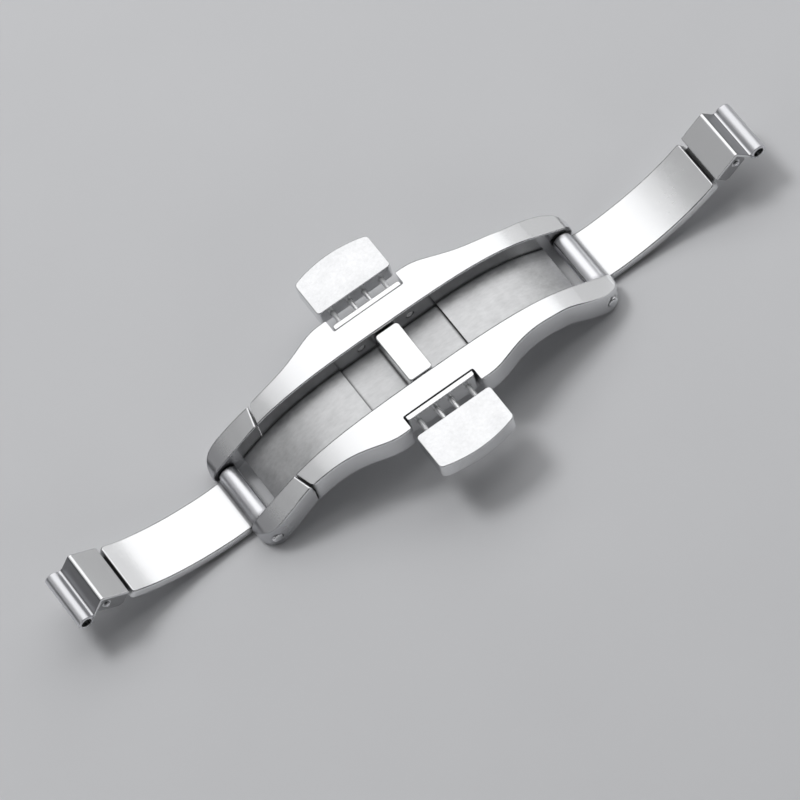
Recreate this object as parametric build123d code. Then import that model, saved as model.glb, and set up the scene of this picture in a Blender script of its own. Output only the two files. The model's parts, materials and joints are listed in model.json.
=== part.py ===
from build123d import *
import math
import os

# Butterfly clasp, shown open. Millimetres, +Z up, standing on its four rail tips.
# +X runs along the strap, +Y across it ("far" side), -Y is the "near" side.
# "left" is -X, "right" is +X. The origin is the middle of the footprint.

# ---------------------------------------------------------------- driving dims
HX = 21.0            # hinge axis from the centre, along X
TIP_R = 1.6          # round rail tip about the hinge axis
HZ = TIP_R           # hinge axis height
CLOSE_DEG = 150.5    # swing of each arm from open to closed

Z_TOP = 8.25         # rail top at the centre
K2, K4 = 0.00200, 2.23e-5   # arch of the rail top: z = Z_TOP - K2 x^2 - K4 x^4
X_LINE = 18.0        # past here the rail top runs straight to the tip
RAIL_T = 3.2         # rail depth, square to the arch
WALL_IN = 3.5        # half the channel between the rails
FLOOR_D = 2.3        # channel depth to the outer floor plates
FLOOR_END = 20.02    # arch station of the square ends of the floor plates, which stop short of the barrels
SEAM_X = 6.0         # seam between outer floors and the centre floor
CENTRE_Z = 5.45      # top of the centre floor
RAIL_MID = 7.87      # half width over the shoulders beside the buttons
BREAK_X = 16.12      # left end cheeks start here, at the inner wall
SLANT = 0.60         # the joint runs this much towards the middle at the outer side

NOTCH_X, NOTCH_Y = 4.35, 6.2     # button notch: half length, bottom
PLATE_T, PLATE_X = 0.70, 4.12    # guide plate in the notch
ROD_Z = 6.85         # height of all rods and pins
ROD_OUT, ROD_IN = 3.03, 0.86     # X of release pins and guide rods
ROD_R, ROD_HOLE = 0.255, 0.285
PLUNGER_R, HOLE_R = 0.46, 0.50   # release plunger head and its bore in the rail
BTN_X, BTN_IN, BTN_CORNER, BTN_OUT = 4.56, 8.81, 13.24, 14.0
BTN_TOP, BTN_BOT = 8.14, 5.80
SPRING_IN = 4.10     # inner seat of a button spring
COLLAR_IN, COLLAR_OUT = 5.45, 5.82

BAR_X, BAR_Y, BAR_TOP = 1.42, 3.28, 7.90

PIN_R, PIN_BORE = 0.50, 0.53     # hinge pin and barrel bore
BARREL_R, BARREL_HALF = 1.05, 3.36
BLADE_HALF, BLADE_T = 3.20, 1.00
TUBE_R, TUBE_BORE, TUBE_HALF = 0.90, 0.58, 3.22
TUBE_CLOSED = (1.04, 8.87)       # tube axis when closed
SLIT_DEG = 228                   # where the rolled edge ends, round the tube
LATCH_R, NOSE_R = 0.42, 0.28     # latch plunger and its nose
BUSH_R, BUSH_T = 0.50, 0.45
BOX_HALF = 3.10
NOSE_REST = 3.38                 # nose tip from the middle, at rest
SHEET_T = 0.32
HOOK_HALF = 3.12


# ---------------------------------------------------------------- small helpers
def arch(x):
    x = abs(x)
    if x <= X_LINE:
        return Z_TOP - K2 * x**2 - K4 * x**4
    return arch(X_LINE) + slope(X_LINE) * (x - X_LINE)


def slope(x):
    x = min(abs(x), X_LINE)
    return -(2 * K2 * x + 4 * K4 * x**3)


def below(x, d):
    """Point at depth d under the arch at station x (x >= 0), square to it."""
    a = math.atan(-slope(x))
    return (x - d * math.sin(a), arch(x) - d * math.cos(a))


def xz(p, y=0.0):
    return Vector(p[0], y, p[1])


def prism(edges, y0, y1):
    """Closed outline in the XZ plane, extruded from y0 to y1."""
    face = Face(Wire(edges))
    return Solid.extrude(face, Vector(0, y1 - y0, 0)).moved(Location((0, y0, 0)))


def slab(edges, z0, z1):
    """Closed outline in the XY plane, extruded from z0 to z1."""
    face = Face(Wire(edges))
    return Solid.extrude(face, Vector(0, 0, z1 - z0)).moved(Location((0, 0, z0)))


def poly_prism(points, y0, y1):
    return prism(Polyline(*[xz(p) for p in points], close=True).edges(), y0, y1)


def rod_y(x, z, r, y0, y1):
    """Cylinder along Y."""
    lo, hi = min(y0, y1), max(y0, y1)
    return Solid.make_cylinder(r, hi - lo, Plane(origin=(x, lo, z), x_dir=(1, 0, 0), z_dir=(0, 1, 0)))


def flip_y(s):
    return s.mirror(Plane.XZ)


def flip_x(s):
    return s.mirror(Plane.YZ)


def one(s):
    """The single solid of a shape."""
    if isinstance(s, Solid):
        return s
    got = s.solids()
    assert len(got) == 1, len(got)
    return got[0]


def tight(s):
    """True if the faces of a solid meet along all their edges when meshed."""
    points, triangles = s.tessellate(0.01, 0.3)
    ids = {}
    at = [ids.setdefault((round(p.X, 5), round(p.Y, 5), round(p.Z, 5)), len(ids)) for p in points]
    uses = {}
    for t in triangles:
        a, b, c = (at[i] for i in t)
        if len({a, b, c}) == 3:
            for e in ((a, b), (b, c), (c, a)):
                key = (min(e), max(e))
                uses[key] = uses.get(key, 0) + 1
    return all(n == 2 for n in uses.values())


def soften(s, r, pick, name=""):
    """Fillet the edges that pick chooses, at r or the largest smaller radius that holds."""
    edges = [e for e in s.edges() if pick(e)]
    for f in (1.0, 0.85, 0.7, 0.45):
        try:
            out = s.fillet(r * f, edges)
            if out.is_valid and abs(out.volume - s.volume) < 0.2 * s.volume and tight(out):
                return one(out)
        except Exception:
            pass
    print("no fillet on", name, len(edges))
    return s


STATIONS = [0.0, 4.0, 8.0, 11.0, 13.5, 16.0, X_LINE]


def curve_below(d, x0=0.0, x1=X_LINE):
    """Spline at depth d from station x0 to x1."""
    xs = [x0] + [x for x in STATIONS if x0 + 1.0 < x < x1 - 0.8] + [x1]
    t0 = (1.0, slope(x0))
    t1 = (1.0, slope(x1))
    return Spline(*[xz(below(x, d)) for x in xs], tangents=[xz(t0), xz(t1)])


# ---------------------------------------------------------------- rail profile
A_END = math.atan(-slope(X_LINE))
TIP_T = (HX + TIP_R * math.sin(A_END), HZ + TIP_R * math.cos(A_END))
TIP_B = (HX - (RAIL_T - TIP_R) * math.sin(A_END), HZ - (RAIL_T - TIP_R) * math.cos(A_END))


def half_profile(top_d, bottom_d, x0, tip=True, x1=None):
    """Edges of the right half of a band under the arch, from station x0 to the tip or to x1."""
    top = curve_below(top_d, x0)
    bot = curve_below(bottom_d, x0)
    edges = [top, bot, Line(top @ 0, bot @ 0)]
    if tip:
        mid = (HX + TIP_R * math.cos(math.radians(-12)), HZ + TIP_R * math.sin(math.radians(-12)))
        edges += [
            Line(top @ 1, xz(TIP_T)),
            ThreePointArc(xz(TIP_T), xz(mid), xz(TIP_B)),
            Line(xz(TIP_B), bot @ 1),
        ]
    else:
        a, b = below(x1, top_d), below(x1, bottom_d)
        edges += [Line(top @ 1, xz(a)), Line(xz(a), xz(b)), Line(xz(b), bot @ 1)]
    return edges


half_rail = prism(half_profile(0.0, RAIL_T, 0.0), 2.0, 9.0)
rail_band = one(half_rail + flip_x(half_rail))

# outer edge of a rail in plan, from the left break to the right tip
shoulder = [
    (BREAK_X, 5.88), (14.6, 5.97), (13.2, 6.06), (11.8, 6.22), (10.6, 6.45), (9.5, 6.76),
    (8.5, 7.10), (7.6, 7.42), (6.7, 7.69), (5.8, RAIL_MID - 0.02), (4.95, RAIL_MID),
]
tip_side = [(BREAK_X, 5.88), (17.6, 6.00), (19.2, 6.07), (20.4, 5.98), (21.3, 5.72), (22.0, 5.22), (22.42, 4.55), (22.62, 3.5)]


def v3(p, z=0.0):
    return Vector(p[0], p[1], z)


left_sh = [(SLANT - BREAK_X, 5.90)] + [(-x, y) for x, y in shoulder[1:]]
right_sh = list(reversed([(x, y) for x, y in shoulder]))
r_notch = 0.32       # outer corners of the notch
r_in = 0.20          # inner corners of the notch
h45 = 1 - math.sqrt(0.5)
plan = [
    Line((-BREAK_X, WALL_IN, 0), v3(left_sh[0])),
    Spline(*[v3(p) for p in left_sh], tangents=[(1, 0.055, 0), (1, 0, 0)]),
    Line(v3(left_sh[-1]), v3(right_sh[0])),
    Spline(*[v3(p) for p in right_sh[:-1] + tip_side], tangents=[(1, 0, 0), (0.16, -1, 0)]),
    Line(v3(tip_side[-1]), (23.2, WALL_IN, 0)),
    Line((23.2, WALL_IN, 0), (-BREAK_X, WALL_IN, 0)),
]
rail = one(slab(plan, -1, 10) & rail_band)

cheek_outer = [(SLANT - BREAK_X - 0.06, 5.87), (-17.6, 5.99), (-19.2, 6.06), (-20.6, 6.02), (-21.5, 5.76), (-22.15, 5.22), (-22.5, 4.45), (-22.62, 3.5)]
cheek_plan = [
    Line((-BREAK_X - 0.06, WALL_IN, 0), v3(cheek_outer[0])),
    Spline(*[v3(p) for p in cheek_outer]),
    Line(v3(cheek_outer[-1]), (-23.2, WALL_IN, 0)),
    Line((-23.2, WALL_IN, 0), (-BREAK_X - 0.06, WALL_IN, 0)),
]
cheek = one(slab(cheek_plan, -1, 10) & rail_band)
# the cheek meets the rail below a narrow open groove
groove_x = (-BREAK_X - 0.05, -BREAK_X - 0.20)
ga, gb = (2.0 - WALL_IN) * SLANT / (5.90 - WALL_IN), (9.0 - WALL_IN) * SLANT / (5.90 - WALL_IN)
groove_plan = [(groove_x[0] + ga, 2, 0), (groove_x[0] + gb, 9, 0), (groove_x[1] + gb, 9, 0), (groove_x[1] + ga, 2, 0)]
cheek = one(cheek - slab([Line(a, b) for a, b in zip(groove_plan, groove_plan[1:] + groove_plan[:1])], arch(groove_x[0]) - 0.95, 12))


def on_top(e, tol=0.04):
    """True for an edge lying on the arch surface of a rail."""
    pts = [e @ t for t in (0.1, 0.5, 0.9)]
    return all(abs(p.X) < TIP_T[0] + 0.05 and abs(p.Z - arch(p.X)) < tol for p in pts)


def along_rail(e):
    return on_top(e) and abs((e @ 0).X - (e @ 1).X) > 0.5 * abs((e @ 0).Y - (e @ 1).Y) + 0.02


rail = soften(rail, 0.16, lambda e: along_rail(e) and (e @ 0.5).Y > WALL_IN + 0.30, "rail outer edge")
rail = soften(rail, 0.18, lambda e: along_rail(e) and (e @ 0.5).Y < WALL_IN + 0.05, "rail inner edge")

# the notch beside the button
wide = NOTCH_X + r_notch
notch = [
    Line((-wide, RAIL_MID + 1, 0), (-wide, RAIL_MID, 0)),
    ThreePointArc((-wide, RAIL_MID, 0), (-NOTCH_X - r_notch * h45, RAIL_MID - r_notch * h45, 0), (-NOTCH_X, RAIL_MID - r_notch, 0)),
    Line((-NOTCH_X, RAIL_MID - r_notch, 0), (-NOTCH_X, NOTCH_Y + r_in, 0)),
    ThreePointArc((-NOTCH_X, NOTCH_Y + r_in, 0), (-NOTCH_X + r_in * h45, NOTCH_Y + r_in * h45, 0), (-NOTCH_X + r_in, NOTCH_Y, 0)),
    Line((-NOTCH_X + r_in, NOTCH_Y, 0), (NOTCH_X - r_in, NOTCH_Y, 0)),
    ThreePointArc((NOTCH_X - r_in, NOTCH_Y, 0), (NOTCH_X - r_in * h45, NOTCH_Y + r_in * h45, 0), (NOTCH_X, NOTCH_Y + r_in, 0)),
    Line((NOTCH_X, NOTCH_Y + r_in, 0), (NOTCH_X, RAIL_MID - r_notch, 0)),
    ThreePointArc((NOTCH_X, RAIL_MID - r_notch, 0), (NOTCH_X + r_notch * h45, RAIL_MID - r_notch * h45, 0), (wide, RAIL_MID, 0)),
    Line((wide, RAIL_MID, 0), (wide, RAIL_MID + 1, 0)),
    Line((wide, RAIL_MID + 1, 0), (-wide, RAIL_MID + 1, 0)),
]
rail = one(rail - slab(notch, 2, 11))

# rounded outer corner at the left break
ex, ey = left_sh[0]
ce = 0.50
lean = SLANT * ce / (ey - WALL_IN)
nick = [
    Line((ex - lean, ey - ce, 0), (ex - 0.5, ey - ce, 0)),
    Line((ex - 0.5, ey - ce, 0), (ex - 0.5, ey + 0.5, 0)),
    Line((ex - 0.5, ey + 0.5, 0), (ex + ce, ey + 0.5, 0)),
    Line((ex + ce, ey + 0.5, 0), (ex + ce, ey + 0.12, 0)),
    ThreePointArc((ex + ce, ey + 0.12, 0), (ex + ce * 0.22, ey - ce * 0.26, 0), (ex - lean, ey - ce, 0)),
]
rail = one(rail - slab(nick, 0, 11))
cheek = soften(cheek, 0.18, lambda e: on_top(e), "cheek top")

# bores in a rail: release pins, guide rods with their springs, hinge pin
for x in (-ROD_OUT, ROD_OUT):
    rail = rail - rod_y(x, ROD_Z, HOLE_R, WALL_IN - 0.5, 5.05) - rod_y(x, ROD_Z, ROD_HOLE, 5.0, NOTCH_Y + 0.5)
for x in (-ROD_IN, ROD_IN):
    rail = rail - rod_y(x, ROD_Z, HOLE_R, SPRING_IN, NOTCH_Y + 0.5) - rod_y(x, ROD_Z, ROD_HOLE, 3.72, SPRING_IN + 0.1)
rail = rail - rod_y(HX, HZ, PIN_R + 0.005, 2, 9)
cheek = cheek - rod_y(-HX, HZ, PIN_R + 0.005, 2, 9)

# dowel joining a left cheek to its rail, along the arch
bx, bz = below(BREAK_X + 0.03, 1.6)
ta = math.atan(slope(BREAK_X))
DOWEL_Y = 4.75
dowel_axis = Plane(origin=(-bx, DOWEL_Y, bz), x_dir=(0, 1, 0), z_dir=(math.cos(ta), 0, -math.sin(ta)))
dowel = Solid.make_cylinder(0.45, 2.6, dowel_axis).moved(
    Location((-1.3 * math.cos(ta), 0, 1.3 * math.sin(ta))))
dowel_hole = Solid.make_cylinder(0.455, 2.8, dowel_axis).moved(
    Location((-1.4 * math.cos(ta), 0, 1.4 * math.sin(ta))))
rail = one(rail - dowel_hole)
cheek = one(cheek - dowel_hole)

# ---------------------------------------------------------------- floor plates
TAB_Y = WALL_IN + 0.8
outer_floor = prism(half_profile(FLOOR_D, RAIL_T, SEAM_X + 0.04, tip=False, x1=FLOOR_END), -WALL_IN, WALL_IN)
# vertical face at the seam
outer_floor = outer_floor & Solid.make_box(30, 9, 12).moved(Location((SEAM_X + 0.03, -4.5, -1)))
tab_band = prism(half_profile(FLOOR_D + 0.15, RAIL_T - 0.15, SEAM_X + 0.04, tip=False, x1=FLOOR_END), -TAB_Y, TAB_Y)
tabs = None
for tx in (7.6, 13.0):
    t = tab_band & Solid.make_box(1.8, 12, 12).moved(Location((tx, -6, -1)))
    t = t - Solid.make_box(30, 2 * WALL_IN, 14).moved(Location((-2, -WALL_IN, -2)))
    tabs = t if tabs is None else tabs + t
floor_right = one(outer_floor + tabs)
floor_left = flip_x(floor_right)

cz0 = Z_TOP - RAIL_T
centre_floor = Solid.make_box(2 * SEAM_X - 0.02, 2 * WALL_IN, CENTRE_Z - cz0).moved(
    Location((-SEAM_X + 0.01, -WALL_IN, cz0)))
for tx in (-4.9, 3.1):
    for ty in (-TAB_Y, WALL_IN):
        centre_floor = centre_floor + Solid.make_box(1.8, 0.8, CENTRE_Z - cz0 - 0.1).moved(Location((tx, ty, cz0)))
centre_floor = one(centre_floor)

# mortises for the tabs
far_half = Solid.make_box(60, 6, 20).moved(Location((-30, 0, -5)))
for f in (floor_right, floor_left, centre_floor):
    rail = rail - (f & far_half)
rail = one(rail)

# ---------------------------------------------------------------- centre bar
bar = Solid.make_box(2 * BAR_X, 2 * BAR_Y, BAR_TOP - CENTRE_Z).moved(Location((-BAR_X, -BAR_Y, CENTRE_Z)))
bar = bar.fillet(0.42, [e for e in bar.edges() if abs((e @ 0).Z - (e @ 1).Z) > 1])
bar = soften(one(bar), 0.14, lambda e: (e @ 0.5).Z > BAR_TOP - 0.01, "bar")
bar_rivets = []
for ry in (-1.9, 1.9):
    shank = Solid.make_cylinder(0.40, 1.35, Plane(origin=(0, ry, cz0), z_dir=(0, 0, 1)))
    head = Solid.make_cone(0.62, 0.40, 0.22, Plane(origin=(0, ry, cz0), z_dir=(0, 0, 1)))
    r = one(shank + head)
    bar_rivets.append(r)
    bar = bar - r
    centre_floor = centre_floor - r
bar = one(bar)
centre_floor = one(centre_floor)

# ---------------------------------------------------------------- guide plate
gp_z0, gp_z1 = 5.35, 8.14
gp = Solid.make_box(2 * PLATE_X, PLATE_T, gp_z1 - gp_z0).moved(Location((-PLATE_X, NOTCH_Y, gp_z0)))
gp = gp.fillet(0.28, [e for e in gp.edges() if abs((e @ 0).Z - (e @ 1).Z) > 1 and (e @ 0.5).Y > NOTCH_Y + 0.3])
# the top edge along the rail is broken more than the others, which leaves a fine groove there
gp = soften(one(gp), 0.19, lambda e: (e @ 0.5).Z > gp_z1 - 0.01 and abs((e @ 0.5).Y - NOTCH_Y) < 0.01, "guide plate")
gp = soften(gp, 0.08, lambda e: (e @ 0.5).Z > gp_z1 - 0.01 and (e @ 0.5).Y > NOTCH_Y + 0.3, "guide plate")
for x in (-ROD_OUT, -ROD_IN, ROD_IN, ROD_OUT):
    gp = gp - rod_y(x, ROD_Z, ROD_HOLE, NOTCH_Y - 0.5, NOTCH_Y + PLATE_T + 0.5)
guide_plate = one(gp)

# ---------------------------------------------------------------- button
c = BTN_CORNER
crown = [
    Line((-BTN_X, BTN_IN, 0), (-BTN_X, c, 0)),
    ThreePointArc((-BTN_X, c, 0), (0, BTN_OUT, 0), (BTN_X, c, 0)),
    Line((BTN_X, c, 0), (BTN_X, BTN_IN, 0)),
    Line((BTN_X, BTN_IN, 0), (-BTN_X, BTN_IN, 0)),
]
btn = slab(crown, BTN_BOT, BTN_TOP)
vert = [e for e in btn.edges() if abs((e @ 0).Z - (e @ 1).Z) > 1]
btn = one(btn.fillet(0.62, [e for e in vert if (e @ 0.5).Y > 10]))
btn = one(btn.fillet(0.42, [e for e in btn.edges() if abs((e @ 0).Z - (e @ 1).Z) > 1 and abs((e @ 0.5).Y - BTN_IN) < 0.01]))
btn = soften(btn, 0.10, lambda e: abs((e @ 0.5).Z - BTN_TOP) < 0.01, "button top")
btn = soften(btn, 0.22, lambda e: abs((e @ 0.5).Z - BTN_BOT) < 0.01, "button")
ROD_SEAT = BTN_IN + 1.6
for x in (-ROD_OUT, -ROD_IN, ROD_IN, ROD_OUT):
    btn = btn - rod_y(x, ROD_Z, ROD_R + 0.004, BTN_IN - 1, ROD_SEAT)
button = one(btn)

release_pins = []
for x in (-ROD_OUT, ROD_OUT):
    p = rod_y(x, ROD_Z, ROD_R, 4.4, ROD_SEAT) + rod_y(x, ROD_Z, PLUNGER_R, WALL_IN + 0.06, 4.5)
    p = soften(one(p), 0.20, lambda e: abs((e @ 0.5).Y - WALL_IN - 0.06) < 0.01, "plunger")
    release_pins.append(p)
guide_rods = []
for x in (-ROD_IN, ROD_IN):
    g = rod_y(x, ROD_Z, ROD_R, 4.22, ROD_SEAT) + rod_y(x, ROD_Z, 0.44, COLLAR_IN, COLLAR_OUT)
    guide_rods.append(one(g))


def spring_y(x, z, y0, y1, coils, r_mid, r_wire):
    """Coil spring along Y between y0 and y1, ends inside those planes."""
    h = (y1 - y0) - 2 * r_wire
    path = Helix(pitch=h / coils, height=h, radius=r_mid)
    start = path @ 0
    section = Plane(origin=start, z_dir=path % 0) * Circle(r_wire)
    s = sweep(section, path=path, is_frenet=True)
    s = s.rotate(Axis.X, -90).moved(Location((x, y0 + r_wire, z)))
    return one(s)


button_springs = [spring_y(x, ROD_Z, SPRING_IN + 0.01, COLLAR_IN - 0.01, 4.0, 0.37, 0.085) for x in (-ROD_IN, ROD_IN)]

# ---------------------------------------------------------------- hinge pins
pin = rod_y(HX, HZ, PIN_R, -6.0, 6.0)
head = rod_y(HX, HZ, 0.62, 5.30, 6.12)
head = soften(one(head), 0.24, lambda e: (e @ 0.5).Y > 6.1, "pin head")
# counterbores for the heads in the outer faces
seat = rod_y(HX, HZ, 0.63, 5.29, 7)
rail = one(rail - seat)
cheek = one(cheek - flip_x(seat))
hinge_pin_right = one(pin + head + flip_y(head))
hinge_pin_left = flip_x(hinge_pin_right)

# ---------------------------------------------------------------- arm (right, open)
TH = math.radians(CLOSE_DEG)


def opened(p):
    """A point of the closed right arm, in the open position."""
    x, z = p[0] - HX, p[1] - HZ
    return (HX + x * math.cos(TH) + z * math.sin(TH), HZ - x * math.sin(TH) + z * math.cos(TH))


TUBE = opened(TUBE_CLOSED)
LATCH = opened((ROD_OUT, ROD_Z))

blade_top = [(22.35, 1.36), (24.0, 1.27), (26.0, 1.40), (28.0, 1.66), (30.0, 2.07), (32.0, 2.66), (34.0, 3.46), (36.25, 4.70)]
t0, t1 = (1.0, -0.10), (1.0, 0.585)
top = Spline(*[xz(p) for p in blade_top], tangents=[xz(t0), xz(t1)])
under = []
n = len(blade_top)
for i, k in enumerate([i / 8 for i in range(9)]):
    p, d = top @ k, top % k
    nx, nz = d.Z, -d.X
    under.append((p.X + BLADE_T * nx, p.Z + BLADE_T * nz))
d0, d1 = top % 0, top % 1
bottom = Spline(*[xz(p) for p in under], tangents=[d0, d1])
blade = prism([top, Line(top @ 1, bottom @ 1), bottom, Line(bottom @ 0, top @ 0)], -BLADE_HALF, BLADE_HALF)
blade = one(blade.fillet(0.40, [e for e in blade.edges() if abs((e @ 0).Y - (e @ 1).Y) < 0.01 and (e @ 0.5).X > 36.0]))
root = poly_prism([(21.0, 1.50), (22.36, 1.36), (22.36, 0.36), (21.6, 0.42), (21.0, 0.62)], -BLADE_HALF, BLADE_HALF)
barrel = rod_y(HX, HZ, BARREL_R, -BARREL_HALF, BARREL_HALF)
barrel = one(barrel)
barrel = soften(barrel, 0.12, lambda e: True, "barrel")
# the sheet sweeps up into the barrel on a concave radius
SWEEP_R = 0.60
ridge_at = 1.50 - (1.50 - 1.36) / 1.36 * 1.60 - 0.003   # height of the root's top line near the sweep
sweep_c = (HX + math.sqrt((BARREL_R + SWEEP_R)**2 - (ridge_at + SWEEP_R - HZ)**2), ridge_at + SWEEP_R)
sweep_h = (HX + (sweep_c[0] - HX) * BARREL_R / (BARREL_R + SWEEP_R), HZ + (sweep_c[1] - HZ) * BARREL_R / (BARREL_R + SWEEP_R))
neck = poly_prism([(HX, 1.10), (HX, HZ), sweep_h, sweep_c, (sweep_c[0], 1.10)], -BLADE_HALF, BLADE_HALF)
neck = one(neck - rod_y(sweep_c[0], sweep_c[1], SWEEP_R, -5, 5))
neck = soften(neck, 0.13, lambda e: abs(abs((e @ 0.5).Y) - BLADE_HALF) < 0.01 and abs(math.hypot((e @ 0.5).X - sweep_c[0], (e @ 0.5).Z - sweep_c[1]) - SWEEP_R) < 0.01, "neck edge")
body = one(blade + root)
ridge = [(21.0, 1.50), (22.36, 1.36)] + [((top @ (i / 60)).X, (top @ (i / 60)).Z) for i in range(1, 61)]


def on_ridge(p):
    """True for a point whose XZ lies on the blade's top line."""
    for a, b in zip(ridge, ridge[1:]):
        ux, uz = b[0] - a[0], b[1] - a[1]
        k = min(1, max(0, ((p.X - a[0]) * ux + (p.Z - a[1]) * uz) / (ux * ux + uz * uz)))
        if math.hypot(p.X - a[0] - ux * k, p.Z - a[1] - uz * k) < 0.02:
            return True
    return False




def blade_rim(e):
    """True for an edge round the blade's top face, without the line where it meets its root."""
    across = abs((e @ 0).Y - (e @ 1).Y) > 1 and (e @ 0.5).X < 36
    return on_ridge(e @ 0.3) and on_ridge(e @ 0.7) and (e @ 0.5).X > 21.05 and not across


body = soften(body, 0.16, blade_rim, "blade edge")
body = body + neck + barrel

# facet line of the catch: from A by the blade to the fold P
A = (36.64, 5.261)
P = (39.55, 7.40)
fu = math.hypot(P[0] - A[0], P[1] - A[1])
fd = ((P[0] - A[0]) / fu, (P[1] - A[1]) / fu)      # along the facet, outward
fn = (-fd[1], fd[0])                               # out of the facet


def fp(s, depth):
    """Point s along the facet from A, depth under it."""
    return (A[0] + fd[0] * s - fn[0] * depth, A[1] + fd[1] * s - fn[1] * depth)


# tongue of the blade that enters the latch block
TONGUE_A, TONGUE_B, TONGUE_L = 0.84, 1.20, 1.55
tongue = poly_prism([fp(-0.95, TONGUE_A), fp(TONGUE_L, TONGUE_A), fp(TONGUE_L, TONGUE_B), fp(-0.90, TONGUE_B)], -2.3, 2.3)
body = one(body + tongue)
body = body - rod_y(HX, HZ, PIN_BORE, -5, 5)
# seam groove of the rolled barrel, on the body side
sa = math.radians(146)
gx, gz = HX + BARREL_R * math.cos(sa), HZ + BARREL_R * math.sin(sa)
groove = Solid.make_box(0.30, 2 * BARREL_HALF - 0.30, 0.09).moved(Location((-0.15, -BARREL_HALF + 0.15, -0.045)))
groove = groove.rotate(Axis.Y, -math.degrees(sa)).moved(Location((gx, 0, gz)))
arm_blade = one(body - groove)

# folded end hook: facet, descending face, rolled tube
# the sheet runs down the hinge side of the tube: its outer face is tangent to the bore
dx, dz = TUBE[0] - P[0], TUBE[1] - P[1]
dist = math.hypot(dx, dz)
base = math.atan2(dz, dx)
off = math.asin(TUBE_BORE / dist)
td = (math.cos(base - off), math.sin(base - off))   # direction of the face from P to the tangent point
tl = math.sqrt(dist**2 - TUBE_BORE**2)
Q = (P[0] + td[0] * tl, P[1] + td[1] * tl)


def inward(p, q, d):
    """Offset a segment p-q to its right-hand side by d."""
    ux, uz = (q[0] - p[0]), (q[1] - p[1])
    l = math.hypot(ux, uz)
    ux, uz = ux / l, uz / l
    return (p[0] + uz * d, p[1] - ux * d), (q[0] + uz * d, q[1] - ux * d)


def cross(p, q, a, b):
    """Where the lines p-q and a-b meet."""
    r, u = (q[0] - p[0], q[1] - p[1]), (b[0] - a[0], b[1] - a[1])
    k = ((a[0] - p[0]) * u[1] - (a[1] - p[1]) * u[0]) / (r[0] * u[1] - r[1] * u[0])
    return (p[0] + r[0] * k, p[1] + r[1] * k)


facet_in = inward(A, P, SHEET_T)
face_in = inward(P, Q, SHEET_T)
PI = cross(facet_in[0], facet_in[1], face_in[0], face_in[1])
fold = poly_prism([A, P, Q, face_in[1], PI, facet_in[0]], -HOOK_HALF, HOOK_HALF)
fold = fold.fillet(0.36, [e for e in fold.edges() if abs((e @ 0.5).X - P[0]) < 0.01 and abs((e @ 0.5).Z - P[1]) < 0.01])
fold = one(fold)


def hook_edge(e):
    """True for the outline of the hook's outer face, clear of the tube."""
    p = e @ 0.5
    side = abs(abs(p.Y) - HOOK_HALF) < 0.01
    s = (p.X - A[0]) * fd[0] + (p.Z - A[1]) * fd[1]
    h = (p.X - A[0]) * fn[0] + (p.Z - A[1]) * fn[1]
    start = abs(s) < 0.01 and abs(h) < 0.01
    return start or (side and abs(h) < 0.01 and s > 0.1)


fold = soften(fold, 0.09, hook_edge, "hook edge")
tube = one(rod_y(TUBE[0], TUBE[1], TUBE_R, -TUBE_HALF, TUBE_HALF))
tube = soften(tube, 0.10, lambda e: True, "tube")
hook = fold + tube
# the descending face sweeps up into the tube on a concave radius
LAP_R = 0.30
fnx, fnz = -td[1], td[0]                            # out of the descending face
want = (P[0] + fnx * LAP_R, P[1] + fnz * LAP_R)      # the sweep's centre runs along this offset line
wx, wz = want[0] - TUBE[0], want[1] - TUBE[1]
wb = wx * td[0] + wz * td[1]
wk = -wb - math.sqrt(wb**2 - (wx**2 + wz**2 - (TUBE_R + LAP_R)**2))
lap_c = (want[0] + td[0] * wk, want[1] + td[1] * wk)
lap_f = (lap_c[0] - fnx * LAP_R, lap_c[1] - fnz * LAP_R)
lap_t = (TUBE[0] + (lap_c[0] - TUBE[0]) * TUBE_R / (TUBE_R + LAP_R), TUBE[1] + (lap_c[1] - TUBE[1]) * TUBE_R / (TUBE_R + LAP_R))
lap = poly_prism([lap_f, lap_c, lap_t, (TUBE[0] - 0.55 * fnx + 0.2 * td[0], TUBE[1] - 0.55 * fnz + 0.2 * td[1]), (lap_f[0] - 0.2 * fnx, lap_f[1] - 0.2 * fnz)], -HOOK_HALF, HOOK_HALF)
lap = one(lap - rod_y(lap_c[0], lap_c[1], LAP_R, -5, 5))
hook = hook + lap
hook = hook - rod_y(TUBE[0], TUBE[1], TUBE_BORE, -5, 5)
# slit where the rolled edge ends against the underside of the sheet
qa = math.radians(SLIT_DEG)
slit = Solid.make_box(0.6, 2 * TUBE_HALF + 1, 0.10).moved(Location((0.45, -TUBE_HALF - 0.5, -0.05)))
slit = slit.rotate(Axis.Y, -math.degrees(qa)).moved(Location((TUBE[0], 0, TUBE[1])))
hook = hook - slit
end_hook = one(hook)

# latch block under the facet, with a slot for the tongue
inner_s = fu - SHEET_T


def face_s(d):
    """How far along the facet the inner side of the descending face is, at depth d."""
    p = cross(fp(0, d), fp(1, d), face_in[0], face_in[1])
    return (p[0] - fp(0, d)[0]) * fd[0] + (p[1] - fp(0, d)[1]) * fd[1]


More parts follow.
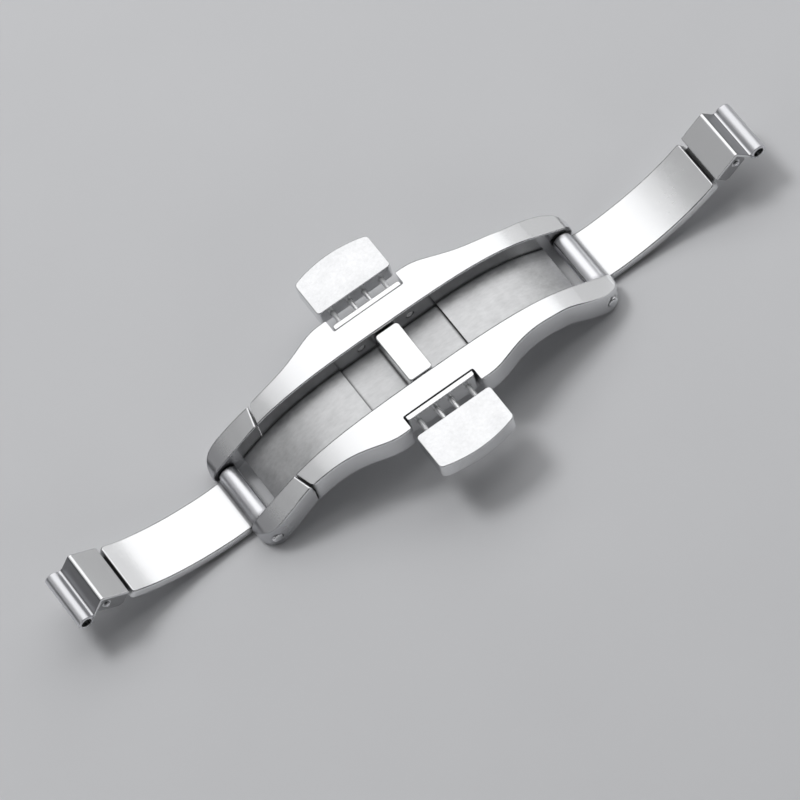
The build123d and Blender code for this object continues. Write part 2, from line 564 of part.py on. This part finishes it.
BLOCK_D = 2.0
block = poly_prism([fp(0.06, SHEET_T), fp(face_s(SHEET_T), SHEET_T), fp(face_s(1.7), 1.7), fp(face_s(1.7) - 0.30, BLOCK_D), fp(0.45, BLOCK_D), fp(0.06, 1.65)], -BOX_HALF, BOX_HALF)
block = block - poly_prism([fp(-0.9, TONGUE_A), fp(TONGUE_L, TONGUE_A), fp(TONGUE_L, TONGUE_B), fp(-0.9, TONGUE_B)], -2.31, 2.31)
block = block - rod_y(LATCH[0], LATCH[1], LATCH_R + 0.04, -5, 5)
bushes = []
for sy in (1, -1):
    y_out, y_in = sy * BOX_HALF, sy * (BOX_HALF - BUSH_T)
    cut = rod_y(LATCH[0], LATCH[1], BUSH_R, y_in, sy * 5)
    ring = rod_y(LATCH[0], LATCH[1], BUSH_R, y_in, y_out) - rod_y(LATCH[0], LATCH[1], NOSE_R + 0.03, -5, 5)
    block = block - cut
    bushes.append(one(ring))
# two rivets hold hook, block and tongue
ang = math.degrees(math.atan2(fd[1], fd[0]))
arm_rivets = []
for ry in (-1.45, 1.45):
    q = fp(0.82, BLOCK_D)
    pl = Plane(origin=(q[0], ry, q[1]), x_dir=(0, 1, 0), z_dir=(fn[0], 0, fn[1]))
    r = Solid.make_cylinder(0.32, BLOCK_D - SHEET_T, pl) + Solid.make_cone(0.52, 0.32, 0.2, pl)
    r = one(r)
    arm_rivets.append(r)
    block = block - r
    arm_blade = arm_blade - r
latch_block = one(block)
arm_blade = one(arm_blade)

# latch plungers, with the spring between them
PL_OUT = BOX_HALF - BUSH_T - 0.02 - 0.45     # shoulder of the plunger at rest, clear of its bush
PL_IN = 1.15


def latch_pin(sy):
    p = rod_y(LATCH[0], LATCH[1], LATCH_R, sy * PL_IN, sy * PL_OUT) + rod_y(LATCH[0], LATCH[1], NOSE_R, sy * (PL_OUT - 0.1), sy * NOSE_REST)
    p = one(p)
    return soften(p, 0.12, lambda e: abs(abs((e @ 0.5).Y) - NOSE_REST) < 0.01, "nose")


latch_far, latch_near = latch_pin(1), latch_pin(-1)
latch_spring = spring_y(LATCH[0], LATCH[1], -(PL_IN - 0.01), PL_IN - 0.01, 8, 0.33, 0.065)

# ---------------------------------------------------------------- write the nodes
nodes = {
    "rail_far": rail,
    "rail_near": flip_y(rail),
    "end_cheek_far": cheek,
    "end_cheek_near": flip_y(cheek),
    "cheek_dowels": [dowel, flip_y(dowel)],
    "floor_plate_right": floor_right,
    "floor_plate_left": floor_left,
    "centre_floor": centre_floor,
    "centre_bar": bar,
    "centre_bar_rivets": bar_rivets,
    "guide_plate_far": guide_plate,
    "guide_plate_near": flip_y(guide_plate),
    "hinge_pin_right": hinge_pin_right,
    "hinge_pin_left": hinge_pin_left,
    "button_springs_far": button_springs,
    "button_springs_near": [flip_y(x) for x in button_springs],
    "button_far": button,
    "button_near": flip_y(button),
    "release_pins_far": release_pins,
    "release_pins_near": [flip_y(x) for x in release_pins],
    "guide_rods_far": guide_rods,
    "guide_rods_near": [flip_y(x) for x in guide_rods],
    "arm_blade_right": arm_blade,
    "arm_blade_left": flip_x(arm_blade),
    "end_hook_right": end_hook,
    "end_hook_left": flip_x(end_hook),
    "latch_block_right": latch_block,
    "latch_block_left": flip_x(latch_block),
    "arm_rivets_right": arm_rivets,
    "arm_rivets_left": [flip_x(x) for x in arm_rivets],
    "latch_bushes_right": bushes,
    "latch_bushes_left": [flip_x(x) for x in bushes],
    "latch_spring_right": latch_spring,
    "latch_spring_left": flip_x(latch_spring),
    "latch_pin_right_far": latch_far,
    "latch_pin_right_near": latch_near,
    "latch_pin_left_far": flip_x(latch_far),
    "latch_pin_left_near": flip_x(latch_near),
}

os.makedirs("parts", exist_ok=True)
for name, shape in nodes.items():
    group = shape if isinstance(shape, list) else [shape]
    out = group[0] if len(group) == 1 else Compound(children=[one(s) for s in group])
    out.label = name
    export_step(out, "parts/" + name + ".step")
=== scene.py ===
import json
import math

import bmesh
import bpy
from mathutils import Matrix, Vector

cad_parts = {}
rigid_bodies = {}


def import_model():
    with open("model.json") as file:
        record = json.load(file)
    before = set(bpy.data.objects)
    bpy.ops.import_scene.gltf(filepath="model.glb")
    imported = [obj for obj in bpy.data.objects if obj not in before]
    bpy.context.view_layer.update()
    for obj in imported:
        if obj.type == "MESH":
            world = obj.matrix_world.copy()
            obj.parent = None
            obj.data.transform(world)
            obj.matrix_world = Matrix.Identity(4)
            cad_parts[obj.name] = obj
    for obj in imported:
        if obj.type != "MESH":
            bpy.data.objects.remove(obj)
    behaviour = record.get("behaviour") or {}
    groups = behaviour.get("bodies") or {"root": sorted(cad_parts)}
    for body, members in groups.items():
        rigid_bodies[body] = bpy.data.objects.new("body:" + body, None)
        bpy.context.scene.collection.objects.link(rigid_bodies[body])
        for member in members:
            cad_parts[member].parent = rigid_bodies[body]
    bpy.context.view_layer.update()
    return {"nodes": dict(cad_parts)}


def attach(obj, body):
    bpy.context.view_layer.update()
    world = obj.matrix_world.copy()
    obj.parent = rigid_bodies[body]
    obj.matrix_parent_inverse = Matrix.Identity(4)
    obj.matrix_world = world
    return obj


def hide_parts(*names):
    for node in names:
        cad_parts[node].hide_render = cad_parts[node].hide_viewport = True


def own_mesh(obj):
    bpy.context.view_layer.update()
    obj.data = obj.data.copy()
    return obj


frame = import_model()
nodes = frame["nodes"]
scene = bpy.context.scene
scene.view_settings.view_transform = "Standard"
scene.view_settings.look = "None"
MM = 0.001


# ------------------------------------------------------------------ materials
def tree(name):
    m = bpy.data.materials.new(name)
    m.use_nodes = True
    nt = m.node_tree
    nt.nodes.clear()
    return m, nt


def put(nt, kind, **props):
    n = nt.nodes.new(kind)
    for k, v in props.items():
        setattr(n, k, v)
    return n


def steel(name, base, rough, grain=(2200, 2200, 2200), grain_rough=0.05, grain_bump=0.02,
          mottle=0.03, edge=0.07, edge_gloss=0.10, edge_lift=0.10, turn=(0, 0, 0), crevice_shade=0.8, reach=0.30,
          full=0.35, cloud=260.0, zones=()):
    """Stainless steel: grain drawn out along one direction, faint handling mottle, burnished edges, and painted shade
    in the crevices and corners, where the colour is taken towards near black as ambient occlusion rises.

    grain is the noise scale per metre along each axis, so a small number is the direction of the brushing.
    zones are places painted darker by their shade tint (1 leaves the colour as it is), standing in for shade and dark
    reflections there, and made rougher by the extra roughness: (kind, where, half width in mm, shade tint, extra
    roughness).
    A "plane" zone is a flat face, given as its normal in XZ and its distance; a "tube" zone lies round an axis along Y,
    given as x, z and radius. Both are for |x|, as the two arms are mirrored.
    """
    m, nt = tree(name)
    link = nt.links.new
    out = put(nt, "ShaderNodeOutputMaterial")
    bsdf = put(nt, "ShaderNodeBsdfPrincipled")
    bsdf.inputs["Metallic"].default_value = 1.0
    link(bsdf.outputs[0], out.inputs["Surface"])
    tc = put(nt, "ShaderNodeTexCoord")
    mp = put(nt, "ShaderNodeMapping")
    mp.inputs["Rotation"].default_value = turn
    mp.inputs["Scale"].default_value = grain
    link(tc.outputs["Object"], mp.inputs["Vector"])
    fine = put(nt, "ShaderNodeTexNoise")
    fine.inputs["Scale"].default_value = 1.0
    fine.inputs["Detail"].default_value = 4.0
    fine.inputs["Roughness"].default_value = 0.6
    link(mp.outputs[0], fine.inputs["Vector"])
    soft = put(nt, "ShaderNodeTexNoise")
    soft.inputs["Scale"].default_value = cloud
    soft.inputs["Detail"].default_value = 3.0
    link(tc.outputs["Object"], soft.inputs["Vector"])

    # burnished edges: where the rounded normal leaves the true one
    bev = put(nt, "ShaderNodeBevel", samples=6)
    bev.inputs["Radius"].default_value = edge * MM
    geo = put(nt, "ShaderNodeNewGeometry")
    dot = put(nt, "ShaderNodeVectorMath", operation="DOT_PRODUCT")
    link(bev.outputs[0], dot.inputs[0])
    link(geo.outputs["Normal"], dot.inputs[1])
    worn = put(nt, "ShaderNodeMapRange")
    worn.inputs["From Min"].default_value = 0.995
    worn.inputs["From Max"].default_value = 0.80
    worn.inputs["To Min"].default_value = 0.0
    worn.inputs["To Max"].default_value = 1.0
    link(dot.outputs["Value"], worn.inputs["Value"])

    # painted shade in the joints and corners: ambient occlusion drives the darkening of the colour
    occ = put(nt, "ShaderNodeAmbientOcclusion", samples=6)
    occ.inputs["Distance"].default_value = reach * MM
    crevice_shade_mask = put(nt, "ShaderNodeMapRange")
    crevice_shade_mask.inputs["From Min"].default_value = 0.92
    crevice_shade_mask.inputs["From Max"].default_value = full
    crevice_shade_mask.inputs["To Min"].default_value = 0.0
    crevice_shade_mask.inputs["To Max"].default_value = crevice_shade
    link(occ.outputs["AO"], crevice_shade_mask.inputs["Value"])

    # roughness = rough + grain + mottle - edge + crevice shade
    r1 = put(nt, "ShaderNodeMapRange")
    r1.inputs["From Min"].default_value = 0.30
    r1.inputs["From Max"].default_value = 0.70
    r1.inputs["To Min"].default_value = rough - grain_rough
    r1.inputs["To Max"].default_value = rough + grain_rough
    link(fine.outputs["Fac"], r1.inputs["Value"])
    r2 = put(nt, "ShaderNodeMath", operation="MULTIPLY_ADD")
    link(soft.outputs["Fac"], r2.inputs[0])
    r2.inputs[1].default_value = min(mottle, 0.06) * 1.6
    link(r1.outputs[0], r2.inputs[2])
    r3 = put(nt, "ShaderNodeMath", operation="MULTIPLY_ADD", use_clamp=True)
    link(worn.outputs[0], r3.inputs[0])
    r3.inputs[1].default_value = -edge_gloss
    link(r2.outputs[0], r3.inputs[2])
    r4 = put(nt, "ShaderNodeMath", operation="MULTIPLY_ADD", use_clamp=True)
    link(crevice_shade_mask.outputs[0], r4.inputs[0])
    r4.inputs[1].default_value = 0.25
    link(r3.outputs[0], r4.inputs[2])
    rough_out = r4.outputs[0]
    masks = []
    if zones:
        xyz = put(nt, "ShaderNodeSeparateXYZ")
        link(tc.outputs["Object"], xyz.inputs[0])
        ax = put(nt, "ShaderNodeMath", operation="ABSOLUTE")
        link(xyz.outputs["X"], ax.inputs[0])
        flat = put(nt, "ShaderNodeCombineXYZ")
        link(ax.outputs[0], flat.inputs["X"])
        link(xyz.outputs["Z"], flat.inputs["Z"])
    for what, where, half_w, shade_tint, extra in zones:
        if what == "plane":
            nx, nz, dist = where
            d = put(nt, "ShaderNodeVectorMath", operation="DOT_PRODUCT")
            link(flat.outputs[0], d.inputs[0])
            d.inputs[1].default_value = (nx, 0, nz)
            value, centre = d.outputs["Value"], dist
        else:
            cx, cz, radius = where
            d = put(nt, "ShaderNodeVectorMath", operation="DISTANCE")
            link(flat.outputs[0], d.inputs[0])
            d.inputs[1].default_value = (cx * MM, 0, cz * MM)
            value, centre = d.outputs["Value"], radius
        off = put(nt, "ShaderNodeMath", operation="SUBTRACT")
        link(value, off.inputs[0])
        off.inputs[1].default_value = centre * MM
        mag = put(nt, "ShaderNodeMath", operation="ABSOLUTE")
        link(off.outputs[0], mag.inputs[0])
        mk = put(nt, "ShaderNodeMapRange", interpolation_type="SMOOTHSTEP")
        mk.inputs["From Min"].default_value = half_w * MM
        mk.inputs["From Max"].default_value = half_w * 0.4 * MM
        link(mag.outputs[0], mk.inputs["Value"])
        masks.append((mk.outputs[0], shade_tint))
        more = put(nt, "ShaderNodeMath", operation="MULTIPLY_ADD", use_clamp=True)
        link(mk.outputs[0], more.inputs[0])
        more.inputs[1].default_value = extra
        link(rough_out, more.inputs[2])
        rough_out = more.outputs[0]
    link(rough_out, bsdf.inputs["Roughness"])

    # colour: a touch of grain and mottle, edges a little brighter
    ramp = put(nt, "ShaderNodeMapRange")
    ramp.inputs["From Min"].default_value = 0.25
    ramp.inputs["From Max"].default_value = 0.75
    ramp.inputs["To Min"].default_value = 0.0
    ramp.inputs["To Max"].default_value = 1.0
    mixn = put(nt, "ShaderNodeMath", operation="ADD")
    link(fine.outputs["Fac"], mixn.inputs[0])
    link(soft.outputs["Fac"], mixn.inputs[1])
    half = put(nt, "ShaderNodeMath", operation="MULTIPLY")
    link(mixn.outputs[0], half.inputs[0])
    half.inputs[1].default_value = 0.5
    link(half.outputs[0], ramp.inputs["Value"])
    col = put(nt, "ShaderNodeMix", data_type="RGBA")
    lo = [max(0.0, c * (1 - mottle)) for c in base]
    hi = [min(1.0, c * (1 + mottle)) for c in base]
    col.inputs["A"].default_value = (*lo, 1)
    col.inputs["B"].default_value = (*hi, 1)
    link(ramp.outputs[0], col.inputs["Factor"])
    lift = put(nt, "ShaderNodeMix", data_type="RGBA")
    link(worn.outputs[0], lift.inputs["Factor"])
    link(col.outputs["Result"], lift.inputs["A"])
    lift.inputs["B"].default_value = (*[min(0.97, c * (1 + edge_lift)) for c in base], 1)
    # painted shade: the colour is mixed towards near black by the crevice shade mask, darkest in corners and joints
    crevice_shade_mix = put(nt, "ShaderNodeMix", data_type="RGBA")
    link(crevice_shade_mask.outputs[0], crevice_shade_mix.inputs["Factor"])
    link(lift.outputs["Result"], crevice_shade_mix.inputs["A"])
    crevice_shade_mix.inputs["B"].default_value = (0.045, 0.044, 0.045, 1)
    colour_out = crevice_shade_mix.outputs["Result"]
    # painted shade: each zone's mask multiplies the colour by its shade tint
    for mask, shade_tint in masks:
        zone_shade = put(nt, "ShaderNodeMix", data_type="RGBA", blend_type="MULTIPLY")
        link(mask, zone_shade.inputs["Factor"])
        link(colour_out, zone_shade.inputs["A"])
        zone_shade.inputs["B"].default_value = (shade_tint, shade_tint, shade_tint * 1.02, 1)
        colour_out = zone_shade.outputs["Result"]
    link(colour_out, bsdf.inputs["Base Color"])

    bump = put(nt, "ShaderNodeBump")
    bump.inputs["Strength"].default_value = grain_bump
    bump.inputs["Distance"].default_value = 0.02 * MM
    link(fine.outputs["Fac"], bump.inputs["Height"])
    link(bev.outputs[0], bump.inputs["Normal"])
    link(bump.outputs[0], bsdf.inputs["Normal"])
    return m


# the fold of the right catch plate, the normal of its descending face and the axes of its tube and of the barrel (XZ, mm)
FOLD, FACE_N, TUBE, BARREL = (39.55, 7.40), (0.8068, 0.5908), (41.952, 5.101), (21.0, 1.6)
ALONG_X = (350, 5200, 5200)
ALONG_Y = (5200, 350, 5200)
EVEN = (3000, 3000, 3000)

MATS = {
    "rail": steel("rail_steel", (0.86, 0.865, 0.875), 0.21, ALONG_X, 0.03, 0.03),
    # painted shade: the cheek is darkened towards its outer end, standing in for the dimmer reflection there
    "cheek": steel("cheek_steel", (0.80, 0.805, 0.815), 0.23, ALONG_X, 0.02, 0.012,
                   zones=(("plane", (1, 0, 23.2), 4.4, 0.66, 0.05),)),
    # painted shade: the floor plates are darkened towards their ends, standing in for the dimmer reflection there
    "floor": steel("floor_steel", (0.59, 0.594, 0.60), 0.30, (1100, 3000, 3000), 0.04, 0.04, mottle=0.24, cloud=620.0,
                   crevice_shade=0.95, reach=0.35, full=0.60, zones=(("plane", (1, 0, 20.6), 4.0, 0.70, 0.05),)),
    "centre": steel("centre_floor_steel", (0.60, 0.604, 0.61), 0.34, (1100, 3000, 3000), 0.04, 0.04, mottle=0.24, cloud=620.0,
                    crevice_shade=0.95, reach=0.35, full=0.60),
    "bar": steel("bar_steel", (0.88, 0.885, 0.89), 0.15, ALONG_Y, 0.02, 0.02),
    "button": steel("button_steel", (0.77, 0.775, 0.785), 0.18, EVEN, 0.03, 0.02, mottle=0.14, cloud=420.0),
    "pin": steel("pin_steel", (0.78, 0.785, 0.80), 0.20, EVEN, 0.04, 0.03, edge=0.03),
    "rod": steel("rod_steel", (0.95, 0.953, 0.96), 0.40, EVEN, 0.04, 0.03, edge=0.03, crevice_shade=0.3, reach=0.1),
    "disc": steel("disc_steel", (0.95, 0.953, 0.96), 0.60, EVEN, 0.04, 0.03, edge=0.03, crevice_shade=0.05, reach=0.1),
    "spring": steel("spring_steel", (0.60, 0.605, 0.615), 0.30, EVEN, 0.03, 0.02, edge=0.01),
    # painted shade: the second ring darkens the blade where it meets the barrel, standing in for the dark reflection in
    # that hollow; the first ring only roughens the barrel
    "blade": steel("blade_steel", (0.87, 0.875, 0.885), 0.21, ALONG_X, 0.03, 0.03, mottle=0.04, crevice_shade=0.95, reach=0.85, full=0.60,
                   zones=(("tube", (BARREL[0], BARREL[1], 1.05), 0.12, 1.0, 0.10),
                          ("tube", (BARREL[0], BARREL[1], 1.36), 0.30, 0.62, 0.08))),
    # painted shade: the descending face of the catch plate is darkened, standing in for the dark surroundings it
    # reflects; the ring round the tube makes the tube a little darker and rougher
    "hook": steel("hook_steel", (0.82, 0.825, 0.835), 0.15, ALONG_Y, 0.02, 0.015, crevice_shade=0.35, reach=0.25,
                  zones=(("plane", (FACE_N[0], FACE_N[1], FACE_N[0] * FOLD[0] + FACE_N[1] * FOLD[1]), 0.06, 0.31, 0.14),
                         ("tube", (TUBE[0], TUBE[1], 0.85), 0.30, 0.90, 0.15))),
    # painted shade: the latch block is coloured dark so the recess behind the blade end, and its reflection in the
    # blade's end face, read as shaded
    "block": steel("block_steel_painted_dark", (0.34, 0.342, 0.35), 0.40, EVEN, 0.04, 0.03),
}


def kind(n):
    for key, mat in (("rail_", "rail"), ("end_cheek", "cheek"), ("floor_plate", "floor"), ("centre_floor", "centre"),
                     ("centre_bar_rivets", "pin"), ("centre_bar", "bar"), ("guide_plate", "bar"),
                     ("button_springs", "spring"), ("latch_spring", "spring"), ("button_", "button"),
                     ("release_pins", "disc"), ("guide_rods", "rod"),
                     ("arm_blade", "blade"), ("end_hook", "hook"), ("latch_block", "block")):
        if n.startswith(key):
            return mat
    return "pin"


for name, ob in nodes.items():
    mat = MATS[kind(name)]
    if not ob.material_slots:
        ob.data.materials.append(mat)
    for s in ob.material_slots:
        s.material = mat

# ------------------------------------------------------------------ springs
def coil(node, body, joint, side=0):
    """The node's spring, or its half on one side of y = 0, copied as a piece of its own, named after the joint and
    attached to the body.
    """
    src = nodes[node]
    bm = bmesh.new()
    bm.from_mesh(src.data)
    if side:
        bmesh.ops.bisect_plane(bm, geom=bm.verts[:] + bm.edges[:] + bm.faces[:], plane_co=(0, 0, 0), plane_no=(0, 1, 0),
                               clear_inner=side > 0, clear_outer=side < 0)
        bmesh.ops.remove_doubles(bm, verts=bm.verts[:], dist=1e-7)
        bmesh.ops.holes_fill(bm, edges=[e for e in bm.edges if e.is_boundary], sides=0)
    mesh = bpy.data.meshes.new(joint + "_coil")
    bm.to_mesh(mesh)
    bm.free()
    for f in mesh.polygons:
        f.use_smooth = True
    mesh.materials.clear()
    mesh.materials.append(MATS["spring"])
    ob = bpy.data.objects.new(joint + "_coil", mesh)
    ob.matrix_world = src.matrix_world.copy()
    scene.collection.objects.link(ob)
    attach(ob, body)
    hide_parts(node)
    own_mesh(ob)
    return ob


for where, sy in (("far", 1), ("near", -1)):
    coil("button_springs_" + where, "centre_frame", "button_%s_press" % where)
    for arm in ("right", "left"):
        coil("latch_spring_" + arm, "arm_%s_body" % arm, "latch_%s_%s_slide" % (arm, where), sy)

# ------------------------------------------------------------------ floor
def floor_material():
    m, nt = tree("pale_floor")
    link = nt.links.new
    out = put(nt, "ShaderNodeOutputMaterial")
    bsdf = put(nt, "ShaderNodeBsdfPrincipled")
    bsdf.inputs["Roughness"].default_value = 0.6
    bsdf.inputs["Specular IOR Level"].default_value = 0.25
    tc = put(nt, "ShaderNodeTexCoord")
    n = put(nt, "ShaderNodeTexNoise")
    n.inputs["Scale"].default_value = 40
    n.inputs["Detail"].default_value = 3
    link(tc.outputs["Object"], n.inputs["Vector"])
    c = put(nt, "ShaderNodeMix", data_type="RGBA")
    c.inputs["A"].default_value = (0.66, 0.665, 0.68, 1)
    c.inputs["B"].default_value = (0.70, 0.705, 0.72, 1)
    link(n.outputs["Fac"], c.inputs["Factor"])
    link(c.outputs["Result"], bsdf.inputs["Base Color"])
    link(bsdf.outputs[0], out.inputs["Surface"])
    return m


me = bpy.data.meshes.new("studio_floor")
R = 2.5
me.from_pydata([(-R, -R, 0), (R, -R, 0), (R, R, 0), (-R, R, 0)], [], [(0, 1, 2, 3)])
me.materials.append(floor_material())
floor = bpy.data.objects.new("studio_floor", me)
floor.location.z = -0.00002
scene.collection.objects.link(floor)


# ------------------------------------------------------------------ lights
def panel(name, centre, target, sx, sy, radiance, colour=(1, 1, 1), spread=math.pi):
    """A soft panel that shows in the metal at the given radiance."""
    ld = bpy.data.lights.new(name, "AREA")
    ld.shape = "RECTANGLE"
    ld.size, ld.size_y = sx, sy
    ld.energy = radiance * math.pi * sx * sy
    ld.color = colour
    ld.spread = spread
    ob = bpy.data.objects.new(name, ld)
    c, t = Vector(centre), Vector(target)
    back = (c - t).normalized()
    side = Vector((1, 0, 0)) - back * back.x
    side.normalize()
    up = back.cross(side)
    ob.matrix_world = Matrix.Translation(c) @ Matrix((side, up, back)).transposed().to_4x4()
    scene.collection.objects.link(ob)
    return ob


def card(name, az, el, dist, wide, high, radiance):
    """A panel facing the object from azimuth az (0 is +Y, 90 is +X) and elevation el, degrees."""
    a, e = math.radians(az), math.radians(el)
    c = (dist * math.sin(a) * math.cos(e), dist * math.cos(a) * math.cos(e), dist * math.sin(e))
    ob = panel(name, c, (0, 0, 0.004), 1, 1, radiance)
    back = (Vector(c) - Vector((0, 0, 0.004))).normalized()
    side = Vector((math.cos(a), -math.sin(a), 0))
    ob.matrix_world = Matrix.Translation(c) @ Matrix((side, back.cross(side), back)).transposed().to_4x4()
    ob.data.size = 2 * dist * math.tan(math.radians(wide / 2))
    ob.data.size_y = 2 * dist * math.tan(math.radians(high / 2))
    ob.data.energy = radiance * math.pi * ob.data.size * ob.data.size_y
    return ob


panel("softbox_top", (0.3425, 0.31, 0.50), (0.3425, 0.31, 0.0), 0.805, 0.64, 1.2)
panel("softbox_edge_1", (-0.0925, 0.31, 0.50), (-0.0925, 0.31, 0.0), 0.065, 0.64, 1.07)
panel("softbox_edge_2", (-0.155, 0.31, 0.50), (-0.155, 0.31, 0.0), 0.060, 0.64, 0.74)
panel("softbox_edge_3", (-0.215, 0.31, 0.50), (-0.215, 0.31, 0.0), 0.060, 0.64, 0.58)
card("card_left_1", -43, 52.4, 0.86, 66, 4.8, 0.53)
card("card_left_2", -49, 47.6, 0.84, 66, 5.0, 0.48)
card("card_left_3", -53, 41.7, 0.82, 62, 7.0, 0.45)
card("card_left_4", -57, 34.6, 0.80, 60, 7.4, 0.38)
card("card_left_low", -62, 26.5, 0.80, 56, 9, 0.38)
card("card_right_high", 61, 22, 0.85, 62, 14, 0.74)
card("card_right_low", 63, 10.5, 0.85, 56, 9, 0.40)
card("card_left_front", -102, 25, 0.80, 22, 14, 1.0)
card("card_right_front", 106, 13, 0.80, 22, 12, 1.0)
card("card_front", 180, 22, 0.80, 70, 16, 0.8)
key = card("key", -26, 64, 0.95, 15, 15, 13.0)
key.visible_glossy = False
for ob in scene.objects:
    if ob.type == "LIGHT":
        ob.visible_camera = False

world = bpy.data.worlds.new("studio")
scene.world = world
world.use_nodes = True
wn = world.node_tree
wn.nodes.clear()
wo = wn.nodes.new("ShaderNodeOutputWorld")
wb = wn.nodes.new("ShaderNodeBackground")
wb.inputs["Color"].default_value = (0.93, 0.95, 1.0, 1)
wb.inputs["Strength"].default_value = 0.06
wn.links.new(wb.outputs[0], wo.inputs["Surface"])

# ------------------------------------------------------------------ camera
AZ, EL, ROLL = (math.radians(v) for v in (-16.58, 62.34, -20.236))
F_PX = 5795.5
T = Vector((1.631, 1.492, 593.08))
back = Vector((math.sin(AZ) * math.cos(EL), -math.cos(AZ) * math.cos(EL), math.sin(EL)))
right = Vector((math.cos(AZ), math.sin(AZ), 0))
up = back.cross(right)
r2 = right * math.cos(ROLL) + up * math.sin(ROLL)
u2 = -right * math.sin(ROLL) + up * math.cos(ROLL)
place = (r2 * -T.x + u2 * -T.y + back * T.z) * MM
cd = bpy.data.cameras.new("camera")
cd.sensor_fit = "HORIZONTAL"
cd.sensor_width = 36.0
cd.lens = F_PX / 800 * 36.0
cd.clip_start = 0.01
cd.clip_end = 20.0
cam = bpy.data.objects.new("camera", cd)
cam.matrix_world = Matrix.Translation(place) @ Matrix((r2, u2, back)).transposed().to_4x4()
scene.collection.objects.link(cam)
scene.camera = cam
